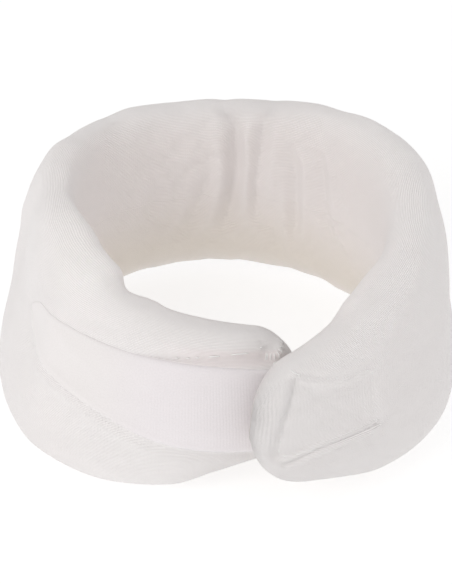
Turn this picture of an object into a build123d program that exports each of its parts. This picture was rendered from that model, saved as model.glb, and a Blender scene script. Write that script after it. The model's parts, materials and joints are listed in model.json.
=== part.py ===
from build123d import *
import os
from math import asin, copysign, cos, pi, radians, sin, sqrt

# Soft foam cervical collar, rolled into a ring and closed at the nape.
# Millimetres. +Z is up, the chin side faces +Y, and the closure at the nape faces -Y.
# The origin is on the ground plane, under the middle of the closed collar.
#
# The collar is one long foam strip in a knitted tube. A point of it is given by its
# station, the distance along the strip's middle line from the tip that is underneath at
# the closure, by its height Z from the middle of the section, and by its offset U,
# outwards from the middle line.

# ---- driving dimensions ----
START_X, START_Y = 24.4, -49.1     # the underneath tip, in plan
START_HEADING = -151.0             # degrees from +X; the strip then turns clockwise
# the middle line in plan, as tangent arcs of (radius, turn in degrees)
PLAN_ARCS = [(69, 57), (48, 42), (92, 29), (59, 37), (69, 73), (79, 116), (63, 27)]
STRIP_LENGTH = sum(radius * radians(turn) for radius, turn in PLAN_ARCS)

# values at even steps from the underneath tip to the top tip
BOTTOM_EDGE = [13, 3, 0.1, 1.1, 5, 4, 1.1, 5, 16]   # height of the lower edge
TOP_EDGE = [55, 66, 78, 83, 79, 84, 85, 72, 55]     # height of the upper edge
THICKNESS = [19.5, 21.5, 24, 21]
LEAN = [0.20, 0.24, 0.15, 0.11, 0.12, 0.17]         # outward slope of the lower edge
UNDER_TIP_CORNER = 13.0            # corner radius of the underneath tip, seen from outside
TOP_TIP_CORNER = 15.0
FLATNESS_U = 0.79                  # superellipse powers of the section
FLATNESS_Z = 0.53

TIP_RADIUS = 10.0                  # rounding of the tips, in plan
TAPE_REACH = 25.0                  # from the middle line to well past a tape's face

KNIT = 1.0                         # thickness of the knitted tube
FOAM_CLEARANCE = 0.3               # between the foam and the knit
FLEX_GAP = 0.3                     # between two neighbouring sections of the strip

# stations where the strip flexes, and the parts of the strip between them
LEFT_FLEX, RIGHT_REAR_FLEX, RIGHT_FRONT_FLEX = 165.0, 275.0, 340.0
CLOSING_FLEX = STRIP_LENGTH - 52.0
SECTIONS = [
    ("left_wing", 0.0, LEFT_FLEX),
    ("middle", LEFT_FLEX, RIGHT_REAR_FLEX),
    ("right_side", RIGHT_REAR_FLEX, RIGHT_FRONT_FLEX),
    ("right_wing", RIGHT_FRONT_FLEX, CLOSING_FLEX),
    ("closing_end", CLOSING_FLEX, STRIP_LENGTH),
]

BAND_START, BAND_END = 4.0, 110.0  # loop band on the outside of the left wing
BAND_WIDTH = 30.0
BAND_THICKNESS = 0.9
BAND_HEIGHT_START, BAND_HEIGHT_END = 33.0, 49.0     # height of its middle line

TAPE_START, TAPE_END = STRIP_LENGTH - 41.0, STRIP_LENGTH - 9.0
TAPE_WIDTH = 25.0                  # hook tape on the inside of the closing end
TAPE_THICKNESS = 1.3
TAPE_HEIGHT = 42.0

SKIN_CLEARANCE = 0.05              # between sewn-on pieces and the knit
THREAD = 0.5                       # sewing thread diameter
THREAD_CLEARANCE = 0.2             # under the stitches
STITCH = 2.4                       # length of one stitch
STITCH_PITCH = 4.0

# seam lines on the outside of the strip, as corners of (station, height)
BAND_SEAM = [(17, 53.2), (28, 54.2), (40, 55.4), (54, 57.6)]  # just over the loop band
TAPE_SEAM = [
    (STRIP_LENGTH - 12, 57), (STRIP_LENGTH - 7, 30),
    (STRIP_LENGTH - 39, 31), (STRIP_LENGTH - 39, 54), (STRIP_LENGTH - 12, 57),
]
TACK_START, TACK_END = (13.5, 53.6), (6.5, 52.6)  # the closing tack beside the tip underneath
TACK_THREADS = 7
TACK_LENGTH = 3.2
TACK_CLEARANCE = 0.9               # over the gathered knit
THREAD_STANDOFF = THREAD_CLEARANCE + THREAD / 2

# ---- resolution of the curved surfaces ----
QUARTER_SHARES = (0, 0.35, 0.62, 0.8, 0.92)     # of a quarter of the section, from its flat side
STATION_STEP = 15.0
TIP_ANGLES = (20, 38, 58, 90)      # degrees round a tip, for its closely spaced sections


def plan_point(station):
    """Position and heading in plan of a station on the middle line."""
    x, y, heading = START_X, START_Y, radians(START_HEADING)
    for radius, turn in PLAN_ARCS:
        step = min(station, radius * radians(turn))
        centre_x = x + radius * sin(heading)
        centre_y = y - radius * cos(heading)
        heading -= step / radius
        x = centre_x - radius * sin(heading)
        y = centre_y + radius * cos(heading)
        station -= step
    # past the last arc the line runs straight on
    return x + station * cos(heading), y + station * sin(heading), heading


def along(values, station):
    """Smooth curve through values at even steps along the strip (Catmull-Rom)."""
    last = len(values) - 1
    place = min(max(station / STRIP_LENGTH, 0.0), 1.0) * last
    i = min(int(place), last - 1)
    f = place - i
    before = values[i - 1] if i > 0 else values[i]
    after = values[i + 2] if i + 2 <= last else values[i + 1]
    slope_start = (values[i + 1] - before) / (2 if i > 0 else 1)
    slope_end = (after - values[i]) / (2 if i + 2 <= last else 1)
    return ((2 * f**3 - 3 * f**2 + 1) * values[i] + (f**3 - 2 * f**2 + f) * slope_start
            + (3 * f**2 - 2 * f**3) * values[i + 1] + (f**3 - f**2) * slope_end)


def quarter(distance, radius):
    """How far a quarter circle of this radius has opened, 0 to 1, at a distance in."""
    share = min(max(distance / radius, 0.0), 1.0)
    return sqrt(1 - (1 - share) ** 2)


def section_size(station, inset):
    """Thickness, height, middle height and lean of the section at a station."""
    from_under_tip = station - inset
    from_top_tip = STRIP_LENGTH - station - inset
    bottom, top = along(BOTTOM_EDGE, station), along(TOP_EDGE, station)
    thickness = along(THICKNESS, station) - 2 * inset
    corner_cut = (UNDER_TIP_CORNER * (1 - quarter(from_under_tip, UNDER_TIP_CORNER))
                  + TOP_TIP_CORNER * (1 - quarter(from_top_tip, TOP_TIP_CORNER)))
    height = top - bottom - 2 * inset - 2 * corner_cut
    nearest_tip = min(from_under_tip, from_top_tip)
    thickness *= quarter(nearest_tip, TIP_RADIUS)
    return thickness, height, (top + bottom) / 2, along(LEAN, station)


def section_plane(station, middle_height):
    """Plane across the strip: local X points outwards and local Y points up."""
    x, y, heading = plan_point(station)
    outward = (-sin(heading), cos(heading), 0)
    ahead = (cos(heading), sin(heading), 0)
    return Plane(origin=(x, y, middle_height), x_dir=outward, z_dir=ahead)


def outline_point(thickness, height, lean, angle):
    """Point of the section's outline; angle 0 is the outer face and 90 degrees the top."""
    u = thickness / 2 * copysign(abs(cos(angle)) ** FLATNESS_U, cos(angle))
    z = height / 2 * copysign(abs(sin(angle)) ** FLATNESS_Z, sin(angle))
    return u - lean * z, z


def strip_section(station, inset):
    """Whole section of the strip, drawn in from the outside by inset."""
    thickness, height, middle, lean = section_size(station, inset)
    quarter_turn = [pi / 2 * share ** (1 / FLATNESS_Z) for share in QUARTER_SHARES]
    rising = quarter_turn + [pi / 2]
    falling = [pi - angle for angle in reversed(quarter_turn)]
    upper = rising + falling
    angles = upper + [angle + pi for angle in upper[1:-1]]
    points = [outline_point(thickness, height, lean, angle) for angle in angles]
    return section_plane(station, middle) * make_face(Spline(*points, periodic=True))


def even_stations(start, end):
    """Stations at even steps from start to end."""
    count = max(2, round((end - start) / STATION_STEP))
    return [start + (end - start) * k / count for k in range(count + 1)]


def strip_length(start, end, inset):
    """Solid length of strip between two stations, rounded off where it ends in a tip."""
    first, last = start, end
    tip_rounding = [inset + TIP_RADIUS * (1 - cos(radians(angle))) for angle in TIP_ANGLES]
    tips = []
    if start == 0.0:
        tips.append(tip_rounding)
        first = tip_rounding[-1]
    if end == STRIP_LENGTH:
        tips.append([STRIP_LENGTH - distance for distance in tip_rounding])
        last = STRIP_LENGTH - tip_rounding[-1]
    solid = loft([strip_section(s, inset) for s in even_stations(first, last)])
    for stations in tips:
        solid += loft([strip_section(s, inset) for s in stations])
    return solid


def flex_ends(start, end, extra):
    """Pull a section's flexing ends back from its neighbours, or push them on by extra."""
    first = start if start == 0.0 else start + FLEX_GAP / 2 - extra
    last = end if end == STRIP_LENGTH else end - FLEX_GAP / 2 + extra
    return first, last


def foam_core(start, end):
    """Foam inside the knit."""
    first, last = flex_ends(start, end, 0.0)
    return strip_length(first, last, KNIT + FOAM_CLEARANCE)


def knit_cover(start, end):
    """Knitted tube round the foam, closed over the tips and open where the strip flexes."""
    outside = strip_length(*flex_ends(start, end, 0.0), 0.0)
    inside = strip_length(*flex_ends(start, end, 1.0), KNIT)
    return outside - inside


def tape_on(start, end, tape_start, tape_end, width, thickness, middle_height, side):
    """Flat tape laid along the strip between two stations; side is 1 outside and -1 inside.

    The tape is the part of a skin over this length of strip that lies inside a box,
    bent along the strip, which reaches out from the middle line.
    """
    skin = strip_length(start, end, -SKIN_CLEARANCE - thickness) - strip_length(start, end, -SKIN_CLEARANCE)
    sections = []
    for station in even_stations(tape_start, tape_end):
        middle = section_size(station, 0.0)[2]
        low = middle_height(station) - width / 2 - middle
        high = middle_height(station) + width / 2 - middle
        reach = side * TAPE_REACH
        outline = Polyline((0, low), (reach, low), (reach, high), (0, high), close=True)
        sections.append(section_plane(station, middle) * make_face(outline))
    return skin & loft(sections, ruled=True)


def outline_angle(height, z):
    """Angle on the outer half of the outline that lies at height z."""
    share = min(abs(z) / (height / 2), 1.0)
    return copysign(asin(share ** (1 / FLATNESS_Z)), z)


def face_point(station, z, standoff):
    """Point over the strip's outer face, at a height above the ground."""
    thickness, height, middle, lean = section_size(station, 0.0)
    angle = outline_angle(height, z - middle)
    u, local_z = outline_point(thickness + 2 * standoff, height + 2 * standoff, lean, angle)
    return section_plane(station, middle).from_local_coords(Vector(u, local_z, 0))


def band_height(station):
    """Height of the loop band's middle line."""
    share = (station - BAND_START) / (BAND_END - BAND_START)
    return BAND_HEIGHT_START + share * (BAND_HEIGHT_END - BAND_HEIGHT_START)


def tape_height(station):
    """Height of the hook tape's middle line."""
    return TAPE_HEIGHT


def stitch(start_point, end_point):
    """One stitch, a short round length of thread."""
    run = end_point - start_point
    return Plane(origin=start_point, z_dir=run) * Cylinder(
        THREAD / 2, run.length, align=(Align.CENTER, Align.CENTER, Align.MIN))


def seam(corners):
    """Stitches along a line of (station, height) corners on the strip's outside."""
    stitches = []
    for (s0, z0), (s1, z1) in zip(corners, corners[1:]):
        length = sqrt((s1 - s0) ** 2 + (z1 - z0) ** 2)
        count = max(1, int(length / STITCH_PITCH))
        for k in range(count):
            ends = [(k + 0.5) / count + side * STITCH / 2 / length for side in (-1, 1)]
            points = [face_point(s0 + (s1 - s0) * f, z0 + (z1 - z0) * f, THREAD_STANDOFF) for f in ends]
            stitches.append(stitch(*points))
    return Compound(children=stitches)


def tack():
    """Threads laid side by side over the gathered corner of the tip underneath."""
    standoff = TACK_CLEARANCE + THREAD / 2
    stitches = []
    for k in range(TACK_THREADS):
        share = k / (TACK_THREADS - 1)
        station = TACK_START[0] + (TACK_END[0] - TACK_START[0]) * share
        height = TACK_START[1] + (TACK_END[1] - TACK_START[1]) * share
        ends = [face_point(station, height + side * TACK_LENGTH / 2, standoff) for side in (-1, 1)]
        stitches.append(stitch(*ends))
    return Compound(children=stitches)


def write(node, shape):
    shape.label = node
    export_step(shape, "parts/" + node + ".step")


os.makedirs("parts", exist_ok=True)

for name, start, end in SECTIONS:
    write("foam_" + name, foam_core(start, end))
    write("cover_" + name, knit_cover(start, end))

write("loop_band", tape_on(
    0.0, LEFT_FLEX, BAND_START, BAND_END, BAND_WIDTH, BAND_THICKNESS, band_height, side=1))
write("hook_tape", tape_on(
    CLOSING_FLEX, STRIP_LENGTH, TAPE_START, TAPE_END, TAPE_WIDTH, TAPE_THICKNESS, tape_height, side=-1))

write("loop_band_stitching", seam(BAND_SEAM))
write("hook_tape_stitching", seam(TAPE_SEAM))
write("left_end_tack", tack())
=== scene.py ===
import json
from math import cos, pi, radians, sin

import bmesh
import bpy
import numpy as np
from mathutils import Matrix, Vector, noise

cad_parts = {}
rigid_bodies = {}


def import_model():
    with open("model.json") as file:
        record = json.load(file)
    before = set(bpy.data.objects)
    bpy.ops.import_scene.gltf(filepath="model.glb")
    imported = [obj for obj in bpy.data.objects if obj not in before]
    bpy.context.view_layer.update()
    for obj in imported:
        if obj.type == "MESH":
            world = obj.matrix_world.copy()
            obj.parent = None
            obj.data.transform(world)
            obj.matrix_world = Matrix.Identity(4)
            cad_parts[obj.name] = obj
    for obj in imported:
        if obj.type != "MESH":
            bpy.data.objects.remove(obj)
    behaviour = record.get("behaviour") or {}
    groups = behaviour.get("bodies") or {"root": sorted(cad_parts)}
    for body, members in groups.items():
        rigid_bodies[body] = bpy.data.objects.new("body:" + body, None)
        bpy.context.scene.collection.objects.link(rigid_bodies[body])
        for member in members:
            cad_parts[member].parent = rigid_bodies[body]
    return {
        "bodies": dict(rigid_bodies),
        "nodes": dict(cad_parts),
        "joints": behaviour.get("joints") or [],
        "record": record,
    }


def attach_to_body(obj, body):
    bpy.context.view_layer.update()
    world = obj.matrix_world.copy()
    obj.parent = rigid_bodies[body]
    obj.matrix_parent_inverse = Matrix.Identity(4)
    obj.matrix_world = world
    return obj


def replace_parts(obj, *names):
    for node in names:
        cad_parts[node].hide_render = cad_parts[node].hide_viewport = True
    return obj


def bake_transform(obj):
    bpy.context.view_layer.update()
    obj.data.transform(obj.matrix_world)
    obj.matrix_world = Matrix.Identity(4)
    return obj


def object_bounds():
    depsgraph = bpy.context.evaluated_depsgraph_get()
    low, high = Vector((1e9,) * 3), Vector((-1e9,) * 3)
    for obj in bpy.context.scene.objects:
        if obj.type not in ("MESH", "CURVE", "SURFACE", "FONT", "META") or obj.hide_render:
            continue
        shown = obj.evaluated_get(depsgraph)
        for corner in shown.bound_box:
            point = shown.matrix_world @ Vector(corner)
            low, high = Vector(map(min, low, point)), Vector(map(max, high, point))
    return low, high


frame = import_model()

CAD_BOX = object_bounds()
MM = 0.001

# Soft foam cervical collar: one foam strip in a knitted tube, rolled into a ring.
# Lengths are in millimetres up to the moment that a mesh is made, and the frame is the
# CAD model's. A point of the strip is given by its station s, the distance along the
# middle line from the tip underneath, and by its girth w, from 0 to 1 round the section:
# 0 is the middle of the inner face, 0.25 the upper edge, 0.5 the middle of the outer face
# and 0.75 the lower edge.

# ---- the strip, as in the CAD model ----
START_X, START_Y = 24.4, -49.1
START_HEADING = -151.0
PLAN_ARCS = [(69, 57), (48, 42), (92, 29), (59, 37), (69, 73), (79, 116), (63, 27)]
STRIP_LENGTH = sum(radius * radians(turn) for radius, turn in PLAN_ARCS)
BOTTOM_EDGE = [13, 3, 0.1, 1.1, 5, 4, 1.1, 5, 16]
TOP_EDGE = [55, 66, 78, 83, 79, 84, 85, 72, 55]
THICKNESS = [19.5, 21.5, 24, 21]
LEAN = [0.20, 0.24, 0.15, 0.11, 0.12, 0.17]
UNDER_TIP_CORNER, TOP_TIP_CORNER = 13.0, 15.0
TIP_RADIUS = 10.0
FLATNESS_U, FLATNESS_Z = 0.79, 0.53

BAND_START, BAND_END, BAND_WIDTH = 4.0, 110.0, 30.0
TAPE_START, TAPE_END = STRIP_LENGTH - 41.0, STRIP_LENGTH - 9.0
TAPE_WIDTH, TAPE_HEIGHT = 25.0, 42.0

# ---- resolution ----
COVER_STEP = 1.0                   # between rings of the cover's mesh
COVER_GIRTH_POINTS = 176
FOAM_STEP = 4.0
FOAM_GIRTH_POINTS = 48
FOAM_INSET = 1.6
FOAM_TIP = 2.5                      # the foam's blunt ends lie this far inside the tips
TIP_ANGLES = range(0, 90, 6)       # degrees round a tip, for its closely spaced rings
TABLE_ROWS = round(STRIP_LENGTH / 0.5)   # steps of the section tables
TABLE_STEP = STRIP_LENGTH / TABLE_ROWS
QUARTER_POINTS = 96
ROW_MARGIN = 0.000001              # keeps the last station on the last step of a table
GIRTH_REFERENCE = 190.0            # girth that one turn of the knit's own coordinate stands for


def plan_line(s):
    """Positions and headings in plan of stations s on the middle line."""
    x, y = np.empty_like(s), np.empty_like(s)
    heading = np.empty_like(s)
    x0, y0, h0, s0 = START_X, START_Y, radians(START_HEADING), 0.0
    for index, (radius, turn) in enumerate(PLAN_ARCS):
        length = radius * radians(turn)
        centre_x, centre_y = x0 + radius * np.sin(h0), y0 - radius * np.cos(h0)
        here = s >= s0 if index else np.ones_like(s, bool)
        h = h0 - (s - s0) / radius
        x = np.where(here, centre_x - radius * np.sin(h), x)
        y = np.where(here, centre_y + radius * np.cos(h), y)
        heading = np.where(here, h, heading)
        h1 = h0 - length / radius
        x0, y0 = centre_x - radius * np.sin(h1), centre_y + radius * np.cos(h1)
        h0, s0 = h1, s0 + length
    return x, y, heading


def along(values, s):
    """Smooth curve through values at even steps along the strip (Catmull-Rom)."""
    v = np.asarray(values, float)
    last = len(v) - 1
    place = np.clip(s / STRIP_LENGTH, 0, 1) * last
    i = np.minimum(place.astype(int), last - 1)
    f = place - i
    slope = np.gradient(v)
    return ((2 * f**3 - 3 * f**2 + 1) * v[i] + (f**3 - 2 * f**2 + f) * slope[i]
            + (3 * f**2 - 2 * f**3) * v[i + 1] + (f**3 - f**2) * slope[i + 1])


def quarter(distance, radius):
    """How far a quarter circle of this radius has opened, 0 to 1, at a distance in."""
    share = np.clip(distance / radius, 0, 1)
    return np.sqrt(1 - (1 - share) ** 2)


def section_size(s):
    """Thickness, height, middle height and lean of the sections at stations s."""
    bottom, top = along(BOTTOM_EDGE, s), along(TOP_EDGE, s)
    corner_cut = (UNDER_TIP_CORNER * (1 - quarter(s, UNDER_TIP_CORNER))
                  + TOP_TIP_CORNER * (1 - quarter(STRIP_LENGTH - s, TOP_TIP_CORNER)))
    height = top - bottom - 2 * corner_cut
    thickness = along(THICKNESS, s) * quarter(np.minimum(s, STRIP_LENGTH - s), TIP_RADIUS)
    return thickness, height, (top + bottom) / 2, along(LEAN, s)


def make_quarter_tables():
    """For each station, U and Z of the section's quarter outline at even steps of length."""
    stations = np.linspace(0, STRIP_LENGTH, TABLE_ROWS + 1)
    thickness, height, _, _ = section_size(stations)
    angle = pi / 2 * np.linspace(0, 1, 400) ** (1 / FLATNESS_Z)
    u = thickness[:, None] / 2 * np.cos(angle) ** FLATNESS_U
    z = height[:, None] / 2 * np.sin(angle) ** FLATNESS_Z
    run = np.hypot(np.diff(u, axis=1), np.diff(z, axis=1))
    length = np.concatenate([np.zeros((len(stations), 1)), np.cumsum(run, axis=1)], axis=1)
    even = np.linspace(0, 1, QUARTER_POINTS + 1)
    u_table, z_table = [], []
    for row in range(len(stations)):
        share = length[row] / length[row, -1]
        u_table.append(np.interp(even, share, u[row]))
        z_table.append(np.interp(even, share, z[row]))
    return np.array(u_table), np.array(z_table), length[:, -1] * 4


U_TABLE, Z_TABLE, GIRTH_TABLE = make_quarter_tables()


def from_table(table, s, share):
    """Bilinear value of a quarter table at stations s and shares of the quarter."""
    row = np.clip(s / TABLE_STEP, 0, len(table) - 1 - ROW_MARGIN)
    column = np.clip(share, 0, 1) * QUARTER_POINTS
    i, j = row.astype(int), np.minimum(column.astype(int), QUARTER_POINTS - 1)
    fi, fj = row - i, column - j
    return ((table[i, j] * (1 - fi) + table[i + 1, j] * fi) * (1 - fj)
            + (table[i, j + 1] * (1 - fi) + table[i + 1, j + 1] * fi) * fj)


def girth(s):
    """Length round the section at stations s."""
    return np.interp(s / TABLE_STEP, np.arange(len(GIRTH_TABLE)), GIRTH_TABLE)


def local_point(s, w):
    """U, Z on the section's outline, before its lean, at stations s and girths w."""
    turn = np.mod(w, 1.0) * 4
    part = np.minimum(turn.astype(int), 3)
    f = turn - part
    share = np.where(part % 2 == 0, f, 1 - f)
    u, z = from_table(U_TABLE, s, share), from_table(Z_TABLE, s, share)
    u = np.where((part == 0) | (part == 3), -u, u)
    z = np.where(part >= 2, -z, z)
    return u, z


def smooth_strip(s, w):
    """Point of the strip's plain surface, with no folds."""
    s, w = np.broadcast_arrays(np.asarray(s, float), np.asarray(w, float))
    u, z = local_point(s, w)
    _, _, middle, lean = section_size(s)
    x, y, heading = plan_line(s)
    reach = u - lean * z
    return np.stack([x - np.sin(heading) * reach, y + np.cos(heading) * reach, middle + z], -1)


def strip_normal(s, w):
    """Outward normal of the plain surface."""
    s, w = np.broadcast_arrays(np.asarray(s, float), np.asarray(w, float))
    ds, dw = 0.6, 0.006
    s_low, s_high = np.clip(s - ds, ds, STRIP_LENGTH - 2), np.clip(s + ds, 2, STRIP_LENGTH - ds)
    along_s = smooth_strip(s_high, w) - smooth_strip(s_low, w)
    here = np.clip(s, ds, STRIP_LENGTH - ds)
    around = smooth_strip(here, w + dw) - smooth_strip(here, w - dw)
    n = np.cross(along_s, around)
    return n / np.maximum(np.linalg.norm(n, axis=-1, keepdims=True), 1e-9)


def girth_at(s, height, side):
    """Girth w of the point of the outer (side 1) or inner (side -1) face at a height."""
    s = np.asarray(s, float)
    _, _, middle, _ = section_size(s)
    local = np.atleast_1d(np.asarray(height, float) - middle)
    rows = np.clip((np.atleast_1d(s) / TABLE_STEP).round().astype(int), 0, len(Z_TABLE) - 1)
    share = np.array([np.interp(abs(z), Z_TABLE[row], np.linspace(0, 1, QUARTER_POINTS + 1))
                      for z, row in zip(np.broadcast_to(local, rows.shape), rows)])
    quarter_turn = np.sign(local) * share * 0.25
    return (0.5 - quarter_turn if side > 0 else quarter_turn).reshape(s.shape)


# ---- relief: folds, creases and rolls of the cover, as heights over the plain surface ----
def line_on(side, points):
    """A line of (station, height) points on a face, as rows of station and girth."""
    s = np.array([p[0] for p in points], float)
    z = np.array([p[1] for p in points], float)
    return np.stack([s, girth_at(s, z, side)], -1)


def smoothed(line, times=2):
    """Line with its corners cut, so that a fold has no kinks."""
    for _ in range(times):
        cut = [line[0]]
        for a, b in zip(line, line[1:]):
            cut += [a * 0.75 + b * 0.25, a * 0.25 + b * 0.75]
        line = np.array(cut + [line[-1]])
    return line


def line_distance(s, w, line):
    """Distance to a line and share of its length, for points given by station and girth."""
    local_girth = girth(s)
    best = np.full(s.shape, 1e9)
    place = np.zeros(s.shape)
    runs = np.hypot(np.diff(line[:, 0]), np.diff(line[:, 1]) * GIRTH_REFERENCE)
    total, before = runs.sum(), 0.0
    for (s0, w0), (s1, w1), run in zip(line[:-1], line[1:], runs):
        dw = np.mod(w - w0 + 0.5, 1.0) - 0.5
        px, py = s - s0, dw * local_girth
        ax, ay = s1 - s0, (w1 - w0) * local_girth
        f = np.clip((px * ax + py * ay) / np.maximum(ax * ax + ay * ay, 1e-9), 0, 1)
        d = np.hypot(px - f * ax, py - f * ay)
        nearer = d < best
        best = np.where(nearer, d, best)
        place = np.where(nearer, (before + f * run) / total, place)
        before += run
    return best, place


def smoothstep(x):
    x = np.clip(x, 0, 1)
    return x * x * (3 - 2 * x)


def fold(s, w, side, points, height, width, fade_in=0.15, fade_out=0.15, shoulder=0.0, power=1.6,
         width_end=None):
    """A fold along a line of (station, height) points: a ridge, or a furrow if its height is under 0.

    Width is its half width, fade_in and fade_out are the shares of its length over which it
    starts and ends, and shoulder is the share of its height that the cloth beside it moves back.
    """
    d, place = line_distance(s, w, smoothed(line_on(side, points)))
    starting = smoothstep(place / fade_in) if fade_in else 1.0
    ending = smoothstep((1 - place) / fade_out) if fade_out else 1.0
    if width_end is not None:
        width = width + (width_end - width) * place
    beside = shoulder * np.exp(-((d - 2.1 * width) / width) ** 2)
    return height * starting * ending * (np.exp(-(d / width) ** power) - beside)


END = STRIP_LENGTH

# valleys of the inner wall where the strip bends hardest: points, depth and half width
WALL_VALLEYS = [
    ([(241, 84), (247, 78), (250.5, 66), (250, 52), (247.5, 38), (242.5, 20)], 3.1, 3.5),
    ([(240, 60), (236, 47), (232, 35), (226, 22)], 1.2, 3.4),
    ([(264, 86), (262.5, 75), (261, 62), (259.5, 50), (259.5, 28)], 1.8, 3.4),
    ([(274.5, 74), (278, 66), (279.5, 52), (277.5, 35), (276.5, 18)], 1.3, 2.7),
    ([(295, 74), (295, 58), (295, 44), (295.5, 28)], 0.8, 2.8),
    ([(215, 58), (212, 44), (206, 28)], 0.6, 3.2),
]
# rounded ridges between them
WALL_RIDGES = [
    ([(255, 78), (256, 66), (255, 50), (253, 30)], 0.9, 3.0),
    ([(269, 77), (269.5, 60), (268, 34)], 0.5, 3.4),
    ([(238, 76), (241.5, 66), (242.5, 52), (239, 38)], 0.5, 2.6),
    ([(285, 76), (285.5, 50), (284, 28)], 0.4, 3.0),
]
# where the valleys cross the upper edge: station, depth and half width
EDGE_VALLEYS = [(244, 0.5, 2.8), (263.5, 0.5, 3.0), (258, 1.3, 22.0)]


def foam_unevenness(s, w):
    """Slow unevenness of the foam and of the knit over it."""
    ring = np.mod(w, 1) * 2 * pi

    def swell(a, r):
        slow = noise.noise(Vector((a / 34, 1.9 * cos(r), 1.9 * sin(r))))
        quick = noise.noise(Vector((a / 12 + 9, 4.2 * cos(r), 4.2 * sin(r))))
        return slow * 0.55 + quick * 0.16

    return np.vectorize(swell)(s, ring)


def wall_folds(s, w):
    """Folds of the inner wall and of the upper edge over them."""
    h = np.zeros(s.shape)
    for points, depth, width in WALL_VALLEYS:
        h += fold(s, w, -1, points, -depth, width, 0.28, 0.35, shoulder=0.3)
    for points, height, width in WALL_RIDGES:
        h += fold(s, w, -1, points, height, width, 0.2, 0.4)
    top = np.exp(-((np.mod(w, 1) - 0.25) / 0.05) ** 2)
    for station, depth, width in EDGE_VALLEYS:
        h -= depth * top * np.exp(-((s - station) / width) ** 2)
    return h


def settling(s, w):
    """How the soft strip has settled off its even section: broad bulges and hollows."""
    # the rims that lean into the neck opening, left and right
    h = fold(s, w, -1, [(140, 77), (114, 73), (92, 69.5), (76, 66), (66, 63)], 5.8, 10.5, 0.5, 0.2)
    h += fold(s, w, -1, [(59, 62.3), (54.5, 61.5)], 1.7, 3.4, 0.0, 0.0)
    h += fold(s, w, -1, [(384, 74), (400, 70.5), (416, 67.5), (430, 65)], 2.4, 8.5, 0.5, 0.3)
    # the flanks, drawn in over their middle and standing out near the top on the right
    h += fold(s, w, 1, [(86, 42), (117, 48), (155, 58)], -4.2, 24.0, 0.25, 0.25)
    h += fold(s, w, 1, [(165, 80), (188, 82), (206, 82)], -1.8, 12.0, 0.3, 0.3)
    h += fold(s, w, 1, [(335, 42), (358, 40), (384, 40)], -1.5, 16.0, 0.3, 0.3)
    h += fold(s, w, 1, [(288, 80), (318, 78), (350, 73)], 1.7, 11.0, 0.3, 0.3)
    # the foot of the left wing, spread outwards
    h += fold(s, w, 1, [(30, 8), (56, 5), (86, 6)], 2.1, 9.0, 0.25, 0.45)
    # both ends' lower edges, turned up
    lower_edge = np.exp(-((np.mod(w, 1) - 0.75) / 0.07) ** 2)
    turned_up = 3.9 * smoothstep((s - (END - 44)) / 30) + 2.8 * smoothstep((40 - s) / 26)
    return h - lower_edge * turned_up


def left_end_folds(s, w):
    """The roll over the loop band, and the pressed lines along the band's edges."""
    h = fold(s, w, 1, [(56, 57.5), (42, 59), (25, 58.5), (12, 56.5)], 0.8, 3.6, 0.4, 0.2)
    h += fold(s, w, 1, [(104, 39), (80, 34.5), (62, 26.5), (50, 21.5), (39, 18.6), (28, 17.2), (12, 16)],
              -0.6, 1.3, 0.2, 0.1, shoulder=0.5)
    # drag lines of the knit round the foot of the roll
    for k in range(3):
        h += fold(s, w, 1, [(118 - 9 * k, 66 - 5 * k), (92 - 8 * k, 58 - 5 * k), (70 - 5 * k, 47 - 5 * k)],
                  0.22, 2.0, 0.4, 0.4)
    return h


def recess(s, w):
    """The sewn recess between the roll and the loop band's upper edge, with the gathered tuck."""
    h = fold(s, w, 1, [(60, 53.0), (48, 53.2), (38, 53.0), (25, 52.4), (13, 51.4), (7, 50.6)],
             -1.7, 0.9, 0.45, 0.12, shoulder=0.12, power=3.0, width_end=3.2)
    h += fold(s, w, 1, [(13.0, 51.9), (10, 51.0), (7.4, 51.6), (5.6, 53.6)], 0.9, 1.3, 0.2, 0.3)
    return h + fold(s, w, 1, [(15, 56.4), (11.5, 54.4), (8.5, 54.2)], -0.5, 1.0, 0.2, 0.2, shoulder=0.3)


def tape_panel(s, w):
    """1 on the panel of the closing end that the hook tape's stitching encloses, 0 off it."""
    z = local_point(s, w)[1] + section_size(s)[2]
    groove = np.interp(z, [26, 30, 40, 51, 58], [END - 7.2, END - 6.2, END - 7.4, END - 10.2, END - 13])
    low = np.interp(s, [END - 40, END - 29, END - 18, END - 7], [31.4, 31.2, 30.6, 27])
    high = np.interp(s, [END - 40, END - 28, END - 20, END - 12], [53.5, 54.2, 56.2, 58])
    inside = smoothstep((groove - s) / 1.8) * smoothstep((s - (END - 46)) / 12)
    inside *= smoothstep((z - low) / 2.5) * smoothstep((high - z) / 4.0)
    return inside * (np.abs(np.mod(w, 1) - 0.5) < 0.25)


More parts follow.
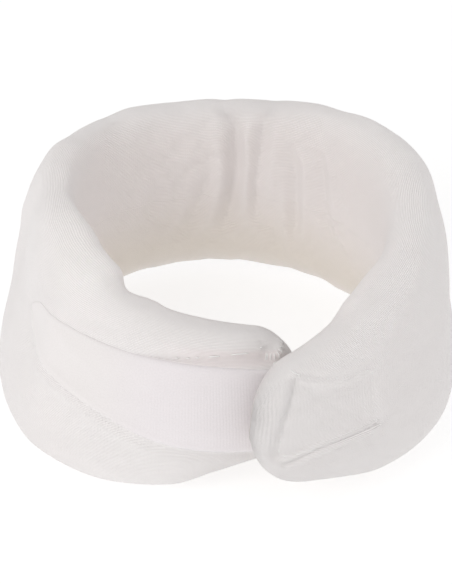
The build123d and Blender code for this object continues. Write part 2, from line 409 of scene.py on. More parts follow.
def right_end_folds(s, w):
    """The closing end, drawn in along the lines of the hook tape's stitching."""
    h = -1.2 * tape_panel(s, w)
    # the fat roll of the tip, and the groove behind it
    h += fold(s, w, 1, [(END - 5.5, 53), (END - 4.0, 40), (END - 3.5, 27)], 1.0, 3.2, 0.15, 0.15)
    h += fold(s, w, 1, [(END - 13, 58), (END - 10.2, 51), (END - 7.4, 40), (END - 6.2, 30),
                        (END - 7.2, 26.5)],
              -2.2, 1.3, 0.08, 0.12, power=1.6)
    # the lower seam, a fine crease that rises to the right and ends in a pinched stitch
    h += fold(s, w, 1, [(END - 7.5, 27), (END - 18, 30.6), (END - 29, 31.2), (END - 40, 31.4)],
              -1.2, 0.7, 0.05, 0.06, shoulder=0.2, power=1.5)
    d, _ = line_distance(s, w, line_on(1, [(END - 39.5, 31.3), (END - 40, 31.5)]))
    h -= 1.0 * np.exp(-(d / 0.8) ** 2)
    # the upper seam
    h += fold(s, w, 1, [(END - 12, 57.6), (END - 20, 56.0), (END - 28, 54.2), (END - 36, 53.6),
                        (END - 48, 57)],
              -0.5, 0.9, 0.08, 0.4, shoulder=0.3)
    # the third side of the tape shows only as a faint line
    h += fold(s, w, 1, [(END - 40, 53), (END - 39.5, 42), (END - 39.5, 33)],
              -0.22, 1.1, 0.2, 0.2, shoulder=0.4)
    # lines of pull under the lower seam, along the upper one, and across the panel
    for k in range(4):
        drop = 1.7 + 1.5 * k
        h += fold(s, w, 1, [(END - 9 - 2 * k, 27.5 - drop), (END - 21, 30.2 - drop), (END - 33, 30.8 - drop),
                            (END - 54, 33.5 - drop)], 0.46 - 0.06 * k, 0.55, 0.2, 0.4, shoulder=0.5)
    for k in range(4):
        h += fold(s, w, 1, [(END - 13 - k, 56.5 - 1.2 * k), (END - 20, 54.8 - 1.5 * k),
                            (END - 31 - 3 * k, 53.0 - 2.4 * k)], 0.22, 0.6, 0.2, 0.5, shoulder=0.4)
    return h + fold(s, w, 1, [(END - 13.5, 55.5), (END - 18, 52.2), (END - 27, 42.3), (END - 36, 33)],
                    -0.22, 1.1, 0.25, 0.6, shoulder=0.5)


GATHERS = None                     # grid of heights from the cloth simulation, once it has run


def gathers(s, w):
    """Height of the knit's gathers, from the simulation's grid."""
    if GATHERS is None:
        return 0.0
    rows, columns = GATHERS.shape
    row = np.clip(s / STRIP_LENGTH, 0, 1) * (rows - 1.001)
    column = np.mod(w, 1) * columns
    i, j = row.astype(int), column.astype(int) % columns
    fi, fj, k = row - i, column - column.astype(int), (j + 1) % columns
    return ((GATHERS[i, j] * (1 - fi) + GATHERS[i + 1, j] * fi) * (1 - fj)
            + (GATHERS[i, k] * (1 - fi) + GATHERS[i + 1, k] * fi) * fj)


def relief(s, w, with_recess=True):
    """Height of the cover over the plain surface, in millimetres."""
    s, w = np.broadcast_arrays(np.asarray(s, float), np.asarray(w, float))
    h = foam_unevenness(s, w) + settling(s, w) + wall_folds(s, w)
    h = h + left_end_folds(s, w) + right_end_folds(s, w) + gathers(s, w)
    return h + recess(s, w) if with_recess else h


# how far the closing tip reaches on beyond its plain end, by height: most low down
TIP_HEIGHTS = [18, 24, 32, 42, 52, 62]
TIP_REACHES = [2.0, 2.3, 1.8, 0.6, -0.7, -1.2]
TIP_INWARD = 0.4                   # share of that reach by which the last of the tip turns in


def tip_lean(s, z):
    """How far a point of the closing end is moved on along the strip."""
    return smoothstep((s - (END - 24)) / 22) * np.interp(z, TIP_HEIGHTS, TIP_REACHES)


def cover_point(s, w, over=0.0, with_recess=True):
    """Point of the cover's surface, or of a layer at a height over it."""
    s, w = np.broadcast_arrays(np.asarray(s, float), np.asarray(w, float))
    tip = quarter(np.minimum(s, STRIP_LENGTH - s), TIP_RADIUS)
    point = smooth_strip(s, w) + strip_normal(s, w) * (relief(s, w, with_recess) * tip + over)[..., None]
    heading = plan_line(s)[2]
    lean = tip_lean(s, point[..., 2])
    inward = TIP_INWARD * lean * smoothstep((s - (END - 9)) / 8)
    return point + np.stack([lean * np.cos(heading) + inward * np.sin(heading),
                             lean * np.sin(heading) - inward * np.cos(heading), 0 * lean], -1)


# ---- meshes ----
WELD = 0.002                       # points this close are one: the strip's two walls meet at its tips


def new_mesh(name, points, faces, uvs, material):
    """Mesh object from points in millimetres, with a UV for each corner in metres."""
    mesh = bpy.data.meshes.new(name)
    mesh.from_pydata([tuple(p) for p in np.asarray(points) * MM], [], faces)
    layer = mesh.uv_layers.new(name="strip")
    layer.data.foreach_set("uv", np.asarray(uvs, np.float32).ravel() * MM)
    mesh.shade_smooth()
    mesh.materials.append(material)
    mesh.validate()
    weld = bmesh.new()
    weld.from_mesh(mesh)
    bmesh.ops.remove_doubles(weld, verts=weld.verts, dist=WELD * MM)
    weld.to_mesh(mesh)
    weld.free()
    piece = bpy.data.objects.new(name, mesh)
    bpy.context.scene.collection.objects.link(piece)
    return piece


def tube_mesh(name, stations, count, surface, material, closed=False):
    """Tube round the strip through the given stations, its ends open or closed."""
    girths = np.arange(count) / count
    points = surface(np.asarray(stations)[:, None], girths[None, :])
    rows = len(stations)
    faces, uvs = [], []
    for i in range(rows - 1):
        for j in range(count):
            k = (j + 1) % count
            faces.append((i * count + j, (i + 1) * count + j, (i + 1) * count + k, i * count + k))
            v0, v1 = j / count * GIRTH_REFERENCE, (j + 1) / count * GIRTH_REFERENCE
            uvs += [(stations[i], v0), (stations[i + 1], v0), (stations[i + 1], v1), (stations[i], v1)]
    if closed:
        for row, order in ((0, range(count)), (rows - 1, range(count - 1, -1, -1))):
            faces.append(tuple(row * count + j for j in order))
            uvs += [(0.0, 0.0)] * count
    return new_mesh(name, points.reshape(-1, 3), faces, uvs, material)


def strip_stations(cuts, step):
    """Stations from tip to tip, closely spaced at the tips, with every cut among them."""
    tip = [TIP_RADIUS * (1 - cos(radians(a))) for a in TIP_ANGLES]
    inner = []
    edges = [TIP_RADIUS] + list(cuts) + [STRIP_LENGTH - TIP_RADIUS]
    for a, b in zip(edges, edges[1:]):
        count = max(1, round((b - a) / step))
        inner += [a + (b - a) * k / count for k in range(count)]
    tip_end = [STRIP_LENGTH - x for x in reversed(tip)]
    return np.array(tip + inner + [STRIP_LENGTH - TIP_RADIUS] + tip_end)


# the strip's lengths: name, first and last station, and the two bodies that it lies between
LENGTHS = [
    ("left_wing", 0.0, 135.0, "left_wing", None),
    ("left_bend", 135.0, 195.0, "left_wing", "middle"),
    ("middle", 195.0, 246.0, "middle", None),
    ("right_rear_bend", 246.0, 304.0, "middle", "right_side"),
    ("right_side", 304.0, 313.0, "right_side", None),
    ("right_front_bend", 313.0, 369.0, "right_side", "right_wing"),
    ("right_wing", 369.0, 392.0, "right_wing", None),
    ("closing_bend", 392.0, 437.0, "right_wing", "closing_end"),
    ("closing_end", 437.0, STRIP_LENGTH, "closing_end", None),
]
CUTS = [length[2] for length in LENGTHS[:-1]]


def attach(piece, first, last, body, next_body):
    """Ride on one body; a length between two bodies rides on none and only has its transform baked into its
    mesh.
    """
    if next_body is None:
        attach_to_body(piece, body)
        return
    (x0, x1), (y0, y1), _ = plan_line(np.array([first, last]))
    direction = np.array([x1 - x0, y1 - y0, 0.0])
    direction /= np.linalg.norm(direction)
    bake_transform(piece)


# ---- materials ----
class Nodes:
    """Short helper for building a material's node tree."""

    def __init__(self, name):
        self.material = bpy.data.materials.new(name)
        self.material.use_nodes = True
        self.tree = self.material.node_tree
        self.shader = self.tree.nodes["Principled BSDF"]

    def add(self, kind, **settings):
        node = self.tree.nodes.new(kind)
        for key, value in settings.items():
            setattr(node, key, value)
        return node

    def link(self, source, target):
        self.tree.links.new(source, target)

    def math(self, operation, a, b=None, c=None):
        node = self.add("ShaderNodeMath", operation=operation)
        for slot, value in zip(node.inputs, (a, b, c)):
            if value is None:
                continue
            if isinstance(value, (int, float)):
                slot.default_value = value
            else:
                self.link(value, slot)
        return node.outputs[0]

    def ramp(self, factor, stops):
        node = self.add("ShaderNodeValToRGB")
        while len(node.color_ramp.elements) < len(stops):
            node.color_ramp.elements.new(0.5)
        for element, (place, colour) in zip(node.color_ramp.elements, stops):
            element.position = place
            element.color = (*colour, 1)
        self.link(factor, node.inputs[0])
        return node.outputs[0]

    def noise(self, vector, scale, detail=2.0):
        node = self.add("ShaderNodeTexNoise")
        node.inputs["Scale"].default_value = scale
        node.inputs["Detail"].default_value = detail
        self.link(vector, node.inputs["Vector"])
        return node.outputs["Fac"]

    def mix(self, factor, a, b, blend="MIX"):
        node = self.add("ShaderNodeMix", data_type="RGBA", blend_type=blend)
        if isinstance(factor, (int, float)):
            node.inputs[0].default_value = factor
        else:
            self.link(factor, node.inputs[0])
        for slot, value in ((node.inputs[6], a), (node.inputs[7], b)):
            if isinstance(value, tuple):
                slot.default_value = (*value, 1)
            else:
                self.link(value, slot)
        return node.outputs[2]

    def bump(self, height, distance, strength):
        node = self.add("ShaderNodeBump")
        node.inputs["Distance"].default_value = distance
        node.inputs["Strength"].default_value = strength
        self.link(height, node.inputs["Height"])
        return node.outputs[0]


WALE = 1.36 * MM                   # width of one column of the knit's stitches
COURSE = 1.05 * MM                 # length of one stitch
RIB = 0.95 * MM                    # spacing of the loop band's ribs
TURN = GIRTH_REFERENCE * MM        # one turn round the strip in the strip coordinate


def strip_coordinate(n):
    """Strip coordinate in metres, whole and as its station and its girth."""
    uv = n.add("ShaderNodeUVMap", uv_map="strip").outputs[0]
    split = n.add("ShaderNodeSeparateXYZ")
    n.link(uv, split.inputs[0])
    return uv, split.outputs[0], split.outputs[1]


def rising(n, value, low, high):
    """0 below low and 1 above high, or the other way round if low is over high."""
    node = n.add("ShaderNodeMapRange", interpolation_type="SMOOTHSTEP")
    n.link(value, node.inputs[0])
    node.inputs[1].default_value, node.inputs[2].default_value = min(low, high), max(low, high)
    node.inputs[3].default_value, node.inputs[4].default_value = (0, 1) if low < high else (1, 0)
    return node.outputs[0]


def knit_colour(n, station, turn_place, cloud):
    """White yarn, pinkish all over, with painted light: a pinker inner face for the shade and bounced light
    inside the ring, painted shade warmer and darker low on the inner wall, and rosy painted shade in the sewn
    recess.
    """
    base = n.ramp(cloud, [(0.30, (0.925, 0.892, 0.886)), (0.70, (0.945, 0.918, 0.912))])
    place = n.add("ShaderNodeSeparateXYZ")
    n.link(n.add("ShaderNodeTexCoord").outputs["Object"], place.inputs[0])
    # painted light: the inner face is tinted pinker, for the shade and bounced light inside the ring
    inner = rising(n, n.math("COSINE", n.math("MULTIPLY", turn_place, 2 * pi / TURN)), -0.2, 0.7)
    pink_painted_shade = n.mix(n.math("MULTIPLY", inner, 0.6), base, (0.945, 0.885, 0.872))
    # painted shade: the inner wall is made darker and warmer towards its bottom
    low = n.math("MULTIPLY", inner, rising(n, place.outputs[2], 0.052, 0.008))
    low_painted_shade = n.mix(n.math("MULTIPLY", low, 0.85), pink_painted_shade, (0.850, 0.785, 0.695))
    # painted shade: rosy and darker in the sewn recess between the roll and the loop band
    recess_girth = float(girth_at(np.array([25.0]), 52.6, 1)[0]) * TURN
    off = n.math("ABSOLUTE", n.math("SUBTRACT", turn_place, recess_girth))
    in_recess = n.math("MULTIPLY", rising(n, off, 6 * MM, 2.5 * MM), rising(n, station, 52 * MM, 30 * MM))
    return n.mix(n.math("MULTIPLY", in_recess, 0.6), low_painted_shade, (0.960, 0.875, 0.872))


def knit_material():
    """White cotton stockinette: columns of V stitches along the strip."""
    n = Nodes("knit")
    uv, station, turn_place = strip_coordinate(n)
    wander = n.math("MULTIPLY", n.math("SUBTRACT", n.noise(uv, 90.0, 2.0), 0.5), 0.7 * WALE)
    across = n.math("DIVIDE", n.math("ADD", turn_place, wander), WALE)
    drift = n.math("MULTIPLY", n.noise(uv, 60.0, 1.0), 1.5 * COURSE)
    down = n.math("DIVIDE", n.math("ADD", station, drift), COURSE)
    # each column is two legs that lean together, with a groove beside them
    off_middle = n.math("ABSOLUTE", n.math("SUBTRACT", n.math("FRACT", across), 0.5))
    column = n.math("SINE", n.math("MULTIPLY", off_middle, 2 * pi))
    leaning = n.math("ADD", down, n.math("MULTIPLY", off_middle, 1.1))
    legs = n.math("SINE", n.math("MULTIPLY", leaning, 2 * pi))
    # the stitches open where the knit is stretched and close into plain columns elsewhere
    stretch = rising(n, n.noise(uv, 22.0, 2.0), 0.38, 0.62)
    leg_depth = n.math("MULTIPLY_ADD", stretch, 0.08, 0.04)
    stitch = n.math("MULTIPLY", column, n.math("ADD", n.math("MULTIPLY", legs, leg_depth), 0.82))
    fuzz = n.noise(uv, 2600.0, 3.0)
    yarn = n.noise(uv, 420.0, 2.0)
    height = n.math("ADD", n.math("MULTIPLY_ADD", fuzz, 0.30, stitch), n.math("MULTIPLY", yarn, 0.35))
    n.link(n.bump(height, 0.00030, 0.8), n.shader.inputs["Normal"])
    tint = knit_colour(n, station, turn_place, n.noise(uv, 28.0, 3.0))
    # painted shade: the knit is darkened in the grooves between its stitch legs
    groove_painted_shade = n.ramp(stitch, [(0.0, (0.90, 0.89, 0.885)), (0.6, (1.0, 1.0, 1.0))])
    n.link(n.mix(1.0, tint, groove_painted_shade, "MULTIPLY"), n.shader.inputs["Base Color"])
    rough = n.add("ShaderNodeMapRange")
    n.link(fuzz, rough.inputs[0])
    rough.inputs[3].default_value, rough.inputs[4].default_value = 0.82, 0.97
    n.link(rough.outputs[0], n.shader.inputs["Roughness"])
    n.shader.inputs["Specular IOR Level"].default_value = 0.25
    n.shader.inputs["Sheen Weight"].default_value = 0.30
    n.shader.inputs["Sheen Roughness"].default_value = 0.55
    return n.material


def loop_material():
    """Brushed loop band: fine ribs across the band under a soft nap."""
    n = Nodes("loop_pile")
    uv, station, _ = strip_coordinate(n)
    wander = n.math("MULTIPLY", n.math("SUBTRACT", n.noise(uv, 300.0), 0.5), 0.35 * MM)
    rib = n.math("SINE", n.math("MULTIPLY", n.math("DIVIDE", n.math("ADD", station, wander), RIB), 2 * pi))
    nap = n.noise(uv, 1800.0, 4.0)
    # the pile is worn flat and smooth towards the far end
    ribbed = rising(n, station, 78 * MM, 50 * MM)
    rib_height = n.math("MULTIPLY", rib, n.math("MULTIPLY_ADD", ribbed, 0.08, 0.02))
    n.link(n.bump(n.math("MULTIPLY_ADD", nap, 0.55, rib_height), 0.00015, 0.8), n.shader.inputs["Normal"])
    cloud = n.noise(uv, 40.0, 3.0)
    lilac = n.ramp(cloud, [(0.30, (0.800, 0.760, 0.775)), (0.70, (0.822, 0.785, 0.800))])
    plain = n.ramp(cloud, [(0.30, (0.795, 0.763, 0.756)), (0.70, (0.820, 0.790, 0.784))])
    tint = n.mix(rising(n, station, 75 * MM, 45 * MM), plain, lilac)
    # painted shade: rosy and darker on the band's first stretch, at the strip's tip
    pink_painted_shade = n.mix(n.math("MULTIPLY", rising(n, station, 15 * MM, 8 * MM), 0.7), tint, (0.815, 0.725, 0.725))
    # painted shade: the band is darkened where its nap lies low
    nap_painted_shade = n.ramp(nap, [(0.25, (0.95, 0.95, 0.95)), (0.65, (1, 1, 1))])
    n.link(n.mix(1.0, pink_painted_shade, nap_painted_shade, "MULTIPLY"), n.shader.inputs["Base Color"])
    rough = n.add("ShaderNodeMapRange")
    n.link(nap, rough.inputs[0])
    rough.inputs[3].default_value, rough.inputs[4].default_value = 0.84, 0.96
    n.link(rough.outputs[0], n.shader.inputs["Roughness"])
    n.shader.inputs["Specular IOR Level"].default_value = 0.2
    n.shader.inputs["Sheen Weight"].default_value = 0.4
    n.shader.inputs["Sheen Roughness"].default_value = 0.5
    return n.material


def foam_material():
    """Open-cell foam, cream, pitted with fine cells, with painted shade darkening the pits."""
    n = Nodes("foam")
    place = n.add("ShaderNodeTexCoord").outputs["Object"]
    cells = n.add("ShaderNodeTexVoronoi")
    cells.inputs["Scale"].default_value = 900.0
    n.link(place, cells.inputs["Vector"])
    n.link(n.bump(cells.outputs["Distance"], 0.0004, 0.7), n.shader.inputs["Normal"])
    # painted shade: darker in the pits of the cells
    tint = n.ramp(cells.outputs["Distance"], [(0.0, (0.62, 0.58, 0.46)), (0.6, (0.86, 0.82, 0.70))])
    n.link(tint, n.shader.inputs["Base Color"])
    n.shader.inputs["Roughness"].default_value = 0.95
    return n.material


def hook_material():
    """Hook tape: off-white nylon, a little glossy, woven base."""
    n = Nodes("hook_pile")
    uv = n.add("ShaderNodeUVMap", uv_map="strip").outputs[0]
    weave = n.add("ShaderNodeTexChecker")
    weave.inputs["Scale"].default_value = 1500.0
    n.link(uv, weave.inputs["Vector"])
    n.link(n.bump(weave.outputs["Fac"], 0.0001, 0.6), n.shader.inputs["Normal"])
    tint = n.ramp(n.noise(uv, 300.0), [(0.3, (0.74, 0.73, 0.70)), (0.7, (0.84, 0.83, 0.81))])
    n.link(tint, n.shader.inputs["Base Color"])
    n.shader.inputs["Roughness"].default_value = 0.45
    return n.material


def thread_material():
    """White sewing thread, twisted, with painted shade in the twist's grooves."""
    n = Nodes("thread")
    place = n.add("ShaderNodeTexCoord").outputs["Object"]
    twist = n.add("ShaderNodeTexWave")
    twist.inputs["Scale"].default_value = 900.0
    n.link(place, twist.inputs["Vector"])
    n.link(n.bump(twist.outputs["Fac"], 0.00008, 0.6), n.shader.inputs["Normal"])
    # painted shade: darker in the grooves of the twist
    n.link(n.ramp(twist.outputs["Fac"], [(0, (0.84, 0.83, 0.82)), (1, (0.92, 0.91, 0.90))]),
           n.shader.inputs["Base Color"])
    n.shader.inputs["Roughness"].default_value = 0.6
    return n.material


knit, loop_pile, foam, hook_pile, thread = (
    knit_material(), loop_material(), foam_material(), hook_material(), thread_material())

# ---- the knit over the foam, as a cloth simulation ----
CLOTH_ROWS, CLOTH_COLUMNS = 156, 64
CLOTH_SCALE = 10.0                 # it runs at ten times real size, where cloth behaves well
CLOTH_FRAMES = 24
CLOTH_EASE = 0.035                 # share by which the knit is longer than the foam under it
FOAM_HOLD = 0.22                   # how firmly the foam holds the knit, 0 to 1
EASE_ROWS = 9                      # rows each way over which the even growth is taken out
GATHER_LIMIT = 0.8                 # most that a point may move, in millimetres
GATHER_FIRST, GATHER_LAST = 195.0, 330.0
GATHER_FADE = 30.0                 # length over which the gathers start and end


def simulate_gathers():
    """Gathers of a knit tube that is a little too long for the strip inside it.

    The tube buckles on the foam, which holds it softly. Its even growth is taken out again,
    so that only the buckles are left, and they stay on the inner face of the hard bends, where
    the strip presses its knit together.
    """
    stations = np.linspace(0, STRIP_LENGTH, CLOTH_ROWS)[:, None]
    girths = (np.arange(CLOTH_COLUMNS) / CLOTH_COLUMNS)[None, :]
    closed = cover_point(stations, girths)
    size = MM * CLOTH_SCALE
    faces = []
    for i in range(CLOTH_ROWS - 1):
        for j in range(CLOTH_COLUMNS):
            here, there, k = i * CLOTH_COLUMNS, (i + 1) * CLOTH_COLUMNS, (j + 1) % CLOTH_COLUMNS
            faces.append((here + j, there + j, there + k, here + k))
    mesh = bpy.data.meshes.new("cloth")
    mesh.from_pydata((closed.reshape(-1, 3) * size).tolist(), [], faces)
    cloth = bpy.data.objects.new("cloth", mesh)
    bpy.context.scene.collection.objects.link(cloth)
    hold = cloth.vertex_groups.new(name="hold")
    hold.add(range(len(mesh.vertices)), FOAM_HOLD, "REPLACE")
    modifier = cloth.modifiers.new("cloth", "CLOTH")
    settings = modifier.settings
    settings.shrink_min = settings.shrink_max = -CLOTH_EASE
    settings.vertex_group_mass = hold.name
    settings.pin_stiffness = 1.0
    settings.quality = 6
    settings.mass = 0.3
    settings.tension_stiffness = settings.compression_stiffness = 15.0
    settings.shear_stiffness = 5.0
    settings.bending_stiffness = 0.3
    settings.effector_weights.gravity = 0.0
    modifier.point_cache.frame_start, modifier.point_cache.frame_end = 1, CLOTH_FRAMES
    for frame in range(1, CLOTH_FRAMES + 1):
        bpy.context.scene.frame_set(frame)
    result = cloth.evaluated_get(bpy.context.evaluated_depsgraph_get()).to_mesh()
    moved = np.empty(len(mesh.vertices) * 3, np.float32)
    result.vertices.foreach_get("co", moved)
    shift = moved.reshape(closed.shape) / size - closed
    height = (shift * strip_normal(stations, girths)).sum(-1)
    bpy.context.scene.frame_set(1)
    bpy.data.objects.remove(cloth)
    padded = np.pad(height, ((EASE_ROWS, EASE_ROWS), (0, 0)), mode="edge")
    even = sum(padded[k:k + CLOTH_ROWS] for k in range(2 * EASE_ROWS + 1)) / (2 * EASE_ROWS + 1)
    pressed = (0.5 + 0.5 * np.cos(2 * pi * girths)) ** 2 * smoothstep((stations - GATHER_FIRST) / GATHER_FADE)
    pressed = pressed * smoothstep((GATHER_LAST - stations) / GATHER_FADE)
    return np.clip(height - even, -GATHER_LIMIT, GATHER_LIMIT) * pressed


GATHERS = simulate_gathers()

# ---- the cover and the foam core, length by length ----
COVER_STATIONS = strip_stations(CUTS, COVER_STEP)
FOAM_STATIONS = np.unique(np.clip(strip_stations(CUTS, FOAM_STEP), FOAM_TIP, STRIP_LENGTH - FOAM_TIP))
REPLACED = {
    "left_wing": "left_wing", "middle": "middle", "right_rear_bend": "right_side",
    "right_wing": "right_wing", "closing_end": "closing_end",
}


def between(stations, first, last):
    return stations[(stations >= first - 1e-6) & (stations <= last + 1e-6)]


def foam_point(s, w):
    return cover_point(s, w, -FOAM_INSET)


for name, first, last, body, next_body in LENGTHS:
    cover = tube_mesh("knit_cover_" + name, between(COVER_STATIONS, first, last),
                      COVER_GIRTH_POINTS, cover_point, knit)
    core = tube_mesh("foam_core_" + name, between(FOAM_STATIONS, first, last),
                     FOAM_GIRTH_POINTS, foam_point, foam, closed=True)
    for piece, prefix, slot in ((cover, "cover_", "knit"), (core, "foam_", "foam")):
        attach(piece, first, last, body, next_body)
        if name in REPLACED:
            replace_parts(piece, prefix + REPLACED[name])


# ---- the loop band and the hook tape ----
BAND_THICKNESS, TAPE_THICKNESS = 0.8, 0.6
TAPE_EDGE_ROUNDING = 0.9
TAPE_STEP = 1.0
BAND_THIN_FROM = 55.0              # the band is pressed thin from here to its far end
BAND_THIN = 0.3                    # share of its thickness left there
BAND_SOFT_EDGE = 8.0               # how far in its edges are pressed down near the far end

# the loop band's two edges: station and height
BAND_UPPER = [(4, 46.3), (13, 47.6), (25, 50.0), (38, 51.5), (47, 52.6), (58, 53.6), (77, 56.2), (92, 56.8),
              (101, 55), (106, 52), (110, 48.5)]
BAND_LOWER = [(4, 17.0), (20, 17.7), (39, 20.0), (51, 23.0), (62, 27.5), (80, 33.5), (93, 37.5),
              (101, 40.5), (106, 44), (110, 47.5)]


def on_curve(points, s):
    """Height at stations s on a smooth curve through (station, height) points."""
    line = smoothed(np.array(points, float))
    return np.interp(s, line[:, 0], line[:, 1])


def band_edges(s):
    return on_curve(BAND_LOWER, s), on_curve(BAND_UPPER, s)


def hook_tape_edges(s):
    return TAPE_HEIGHT - TAPE_WIDTH / 2 + 0 * s, TAPE_HEIGHT + TAPE_WIDTH / 2 + 0 * s


def band_thickness(s):
    full = smoothstep((BAND_END - s) / (BAND_END - BAND_THIN_FROM))
    return BAND_THICKNESS * (BAND_THIN + (1 - BAND_THIN) * full)


def hook_tape_thickness(s):
    return TAPE_THICKNESS + 0 * s


def band_rounding(s):
    """The band's edges are crisp at the closure and pressed into the knit near the far end."""
    return TAPE_EDGE_ROUNDING + (BAND_SOFT_EDGE - TAPE_EDGE_ROUNDING) * smoothstep((s - 45) / 22)


def hook_tape_rounding(s):
    return TAPE_EDGE_ROUNDING + 0 * s


def tape_mesh(name, s_range, width, edges, thickness_at, rounding, side, under, material):
    """Closed flat tape on the cover with rounded edges; under gives how deep its lower face lies."""
    rows, columns = int((s_range[1] - s_range[0]) / TAPE_STEP) + 1, int(width / TAPE_STEP) + 1
    s = np.repeat(np.linspace(*s_range, rows)[:, None], columns, axis=1)
    share = np.repeat(np.linspace(0, 1, columns)[None, :], rows, axis=0)
    lower_edge, upper_edge = edges(s)
    height = lower_edge + share * (upper_edge - lower_edge)
    w = np.stack([girth_at(s[:, j], height[:, j], side) for j in range(columns)], 1)
    from_edge = np.minimum(np.minimum(share, 1 - share) * width, np.minimum(s - s_range[0], s_range[1] - s))
    over = thickness_at(s) * (0.06 + 0.94 * quarter(from_edge, rounding(s)))
    upper = cover_point(s, w, over, with_recess=False)
    lower = cover_point(s, w, -under(s, share), with_recess=False)
    points = np.concatenate([upper.reshape(-1, 3), lower.reshape(-1, 3)])
    half = rows * columns
    faces, uvs = [], []

    def add(vertices, corners):
        if side < 0:
            vertices, corners = vertices[::-1], corners[::-1]
        faces.append(tuple(vertices))
        uvs.extend((s[i, j], share[i, j] * width) for i, j in corners)

    for i in range(rows - 1):
        for j in range(columns - 1):
            ring = [(i, j), (i + 1, j), (i + 1, j + 1), (i, j + 1)]
            add([a * columns + b for a, b in ring], ring)
            ring.reverse()
            add([half + a * columns + b for a, b in ring], ring)
    rim = [(i, 0) for i in range(rows)] + [(rows - 1, j) for j in range(1, columns)] \
        + [(i, columns - 1) for i in range(rows - 2, -1, -1)] + [(0, j) for j in range(columns - 2, 0, -1)]
    for (a, b), (c, d) in zip(rim, rim[1:] + rim[:1]):
        add([a * columns + b, half + a * columns + b, half + c * columns + d, c * columns + d],
            [(a, b), (a, b), (c, d), (c, d)])
    return new_mesh(name, points, faces, uvs, material)


def under_band(s, share):
    """The band's lower face is sunk into the cover, and deeper where it borders the recess."""
    return 0.3 + 1.9 * smoothstep((share - 0.84) / 0.12) * smoothstep((58 - s) / 25)


def under_hook_tape(s, share):
    return 0.3 + 0 * s


band = tape_mesh("loop_band", (BAND_START, BAND_END), BAND_WIDTH, band_edges, band_thickness,
                 band_rounding, 1, under_band, loop_pile)
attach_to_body(band, "left_wing")
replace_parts(band, "loop_band")

tape = tape_mesh("hook_tape", (TAPE_START, TAPE_END), TAPE_WIDTH, hook_tape_edges, hook_tape_thickness,
                 hook_tape_rounding, -1, under_hook_tape, hook_pile)
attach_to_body(tape, "closing_end")
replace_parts(tape, "hook_tape")


# ---- thin round pieces: hooks and threads ----
def bent_tubes(name, paths, radius, sides, material):
    """One mesh of tubes along paths, each an array of points in millimetres."""
    points, faces, uvs = [], [], []
    for path in paths:
        run = np.gradient(path, axis=0)
        run /= np.linalg.norm(run, axis=1, keepdims=True)
        # a fixed direction across the tube that is never along it
        across = np.cross(run, np.cross(run.mean(0), [0.31, 0.52, 0.79]) + 1e-6)
        across /= np.linalg.norm(across, axis=1, keepdims=True)
        other = np.cross(run, across)
        rows, first = len(path), len(points)
        for k in range(rows):
            for j in range(sides):
                angle = 2 * pi * j / sides
                points.append(path[k] + radius * (cos(angle) * across[k] + sin(angle) * other[k]))
        for k in range(rows - 1):
            for j in range(sides):
                corners = [(k, j), (k, j + 1), (k + 1, j + 1), (k + 1, j)]
                faces.append(tuple(first + a * sides + b % sides for a, b in corners))
                uvs += [(a * radius, b * radius) for a, b in corners]
        for k, order in ((0, range(sides - 1, -1, -1)), (rows - 1, range(sides))):
            faces.append(tuple(first + k * sides + j for j in order))
            uvs += [(k * radius, j * radius) for j in order]
    return new_mesh(name, points, faces, uvs, material)


HOOK_PITCH = 1.5
HOOK_HEIGHT = 0.75
HOOK_RADIUS = 0.13
HOOK_MARGIN = 1.8                  # bare border round the field of hooks


def hook_paths():
    """Small moulded hooks in rows on the hook tape, every other row facing the other way."""
    across = TAPE_WIDTH - 2 * HOOK_MARGIN
    along_tape = TAPE_END - TAPE_START - 2 * HOOK_MARGIN
    bend = np.radians(np.linspace(0, 210, 7))
    rise = np.concatenate([[0.0], HOOK_HEIGHT * 0.6 + HOOK_HEIGHT * 0.4 * np.sin(bend)])
    reach = np.concatenate([[0.0], HOOK_HEIGHT * 0.4 * (1 - np.cos(bend))])
    paths = []
    for row in range(int(along_tape / HOOK_PITCH) + 1):
        station = TAPE_START + HOOK_MARGIN + row * HOOK_PITCH
        facing = 1 if row % 2 else -1
        for column in range(int(across / HOOK_PITCH) + 1):
            height = TAPE_HEIGHT - across / 2 + (column + 0.25 * facing) * HOOK_PITCH
            s = station + facing * reach
            w = girth_at(s, height + 0 * s, -1)
            paths.append(cover_point(s, w, TAPE_THICKNESS - 0.1 + rise, with_recess=False))
    return paths


hooks = bent_tubes("tape_hooks", hook_paths(), HOOK_RADIUS, 5, hook_pile)
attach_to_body(hooks, "closing_end")


def stitch_path(start, end, rise, sink):
    """A stitch that dips into the cloth at both ends."""
    f = np.linspace(0, 1, 9)
    s = start[0] + (end[0] - start[0]) * f
    w = girth_at(s, start[1] + (end[1] - start[1]) * f, 1)
    return cover_point(s, w, rise * np.sin(pi * f) ** 0.6 - sink)


def running_stitches(corners, length, pitch):
    """Ends of even stitches along a line of (station, height) corners."""
    ends = []
    for (s0, z0), (s1, z1) in zip(corners, corners[1:]):
        run = float(np.hypot(s1 - s0, z1 - z0))
        count = max(1, int(run / pitch))
        for k in range(count):
            middle, half = (k + 0.5) / count, length / 2 / run
            shares = (middle - half, middle + half)
            ends.append(tuple((s0 + (s1 - s0) * f, z0 + (z1 - z0) * f) for f in shares))
    return ends


def thread_piece(name, stitches, radius, rise, sink, body):
    piece = bent_tubes(name, [stitch_path(a, b, rise, sink) for a, b in stitches], radius, 7, thread)
    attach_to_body(piece, body)
    return piece


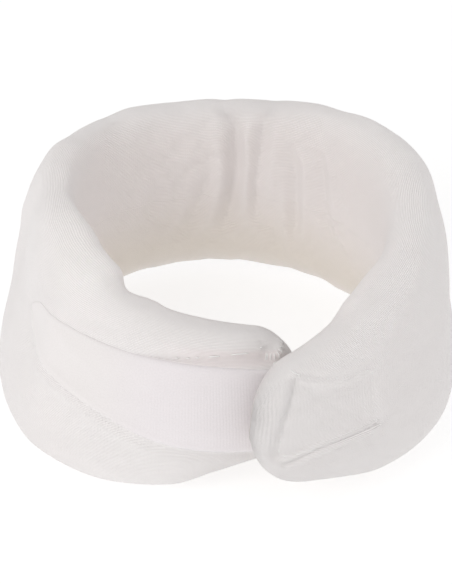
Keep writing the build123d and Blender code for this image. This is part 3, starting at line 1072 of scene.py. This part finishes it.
# two long loose stitches stand clear in the recess, and small ones sink in beside them
RECESS_STITCHES = [
    ((32.0, 53.9), (28.4, 54.0)), ((24.4, 54.1), (18.6, 53.9)), ((36.2, 53.7), (35.2, 53.7)),
    ((39.4, 53.5), (38.4, 53.5)), ((43.0, 53.4), (42.0, 53.4)), ((14.4, 54.6), (13.6, 54.7)),
]
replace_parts(thread_piece("loop_band_stitching", RECESS_STITCHES, 0.26, 0.55, 0.15, "left_wing"),
            "loop_band_stitching")

TAPE_SEAM = [(END - 10.2, 51), (END - 7.8, 40), (END - 7.2, 30), (END - 18, 30.6), (END - 29, 31.2),
             (END - 39.5, 31.4), (END - 39.5, 53), (END - 28, 54.2), (END - 12.5, 57.5)]
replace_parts(thread_piece("hook_tape_stitching", running_stitches(TAPE_SEAM, 0.9, 2.9), 0.2, 0.22, 0.2,
                         "closing_end"), "hook_tape_stitching")
# the seam's last stitch, at the upper corner, is longer and lies on top
LAST_STITCH = [((END - 12.2, 57.9), (END - 14.8, 57.5))]
thread_piece("hook_tape_last_stitch", LAST_STITCH, 0.24, 0.5, 0.1, "closing_end")

TUCK = [(12.5, 51.8), (10, 51.0), (7.4, 51.6), (5.8, 53.4)]
TUCK_THREADS = 9
TUCK_REACH = 1.1                   # from the middle of the tuck to a stitch's end


def tuck_stitches():
    """Whipped stitches close together over the gathered tuck."""
    line = smoothed(np.array(TUCK, float))
    places = np.linspace(0, len(line) - 1, TUCK_THREADS)
    ends = []
    for place in places:
        k = min(int(place), len(line) - 2)
        middle = line[k] + (line[k + 1] - line[k]) * (place - k)
        run = (line[k + 1] - line[k]) / np.linalg.norm(line[k + 1] - line[k])
        over = np.array([-run[1], run[0]]) * TUCK_REACH
        ends.append((tuple(middle - over), tuple(middle + over)))
    return ends


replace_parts(thread_piece("left_end_tack", tuck_stitches(), 0.18, 0.3, 0.15, "left_wing"), "left_end_tack")


# ---- lights, floor and camera ----
def area_light(name, place, target, size, power, colour):
    data = bpy.data.lights.new(name, "AREA")
    data.shape = "DISK"
    data.size = size
    data.energy = power
    data.color = colour
    lamp = bpy.data.objects.new(name, data)
    lamp.location = place
    lamp.rotation_euler = (Vector(target) - Vector(place)).to_track_quat("-Z", "Y").to_euler()
    bpy.context.scene.collection.objects.link(lamp)


def floor_material():
    n = Nodes("floor")
    place = n.add("ShaderNodeTexCoord").outputs["Object"]
    n.link(n.ramp(n.noise(place, 3.0), [(0.3, (0.49, 0.49, 0.49)), (0.7, (0.51, 0.51, 0.51))]),
           n.shader.inputs["Base Color"])
    n.shader.inputs["Roughness"].default_value = 0.9
    n.shader.inputs["Emission Color"].default_value = (1, 1, 1, 1)
    n.shader.inputs["Emission Strength"].default_value = 0.60
    return n.material


bpy.ops.mesh.primitive_plane_add(size=6.0, location=(0, 0, CAD_BOX[0][2] - 0.0002))
floor = bpy.context.object
floor.name = "floor"
floor.data.materials.append(floor_material())

scene = bpy.context.scene
scene.view_settings.view_transform = "Standard"
world = bpy.data.worlds.new("studio")
scene.world = world
world.use_nodes = True
world.node_tree.nodes["Background"].inputs[0].default_value = (1.0, 0.99, 0.985, 1)
world.node_tree.nodes["Background"].inputs[1].default_value = 0.70
area_light("key", (-0.68, -0.74, 0.70), (0, 0, 0.03), 0.7, 3.6, (1.0, 0.995, 0.985))
area_light("fill", (0.95, -0.40, 0.45), (0, 0, 0.03), 0.8, 0.75, (1.0, 0.985, 0.985))
area_light("top", (0.0, 0.1, 1.2), (0, 0, 0.03), 0.9, 0.5, (1.0, 0.995, 0.99))

ELEVATION = radians(33.6)
DISTANCE = 1.170
TARGET = Vector((0.0, 0.00635, 0.0351))
back = Vector((0, -cos(ELEVATION), sin(ELEVATION)))
up = Vector((0, sin(ELEVATION), cos(ELEVATION)))
camera_data = bpy.data.cameras.new("camera")
camera = bpy.data.objects.new("camera", camera_data)
camera.location = TARGET + up * 0.00052 + back * DISTANCE
camera.rotation_euler = (-back).to_track_quat("-Z", "Y").to_euler()
camera_data.lens = 196.0
camera_data.sensor_width = 36.0
scene.collection.objects.link(camera)
scene.camera = camera
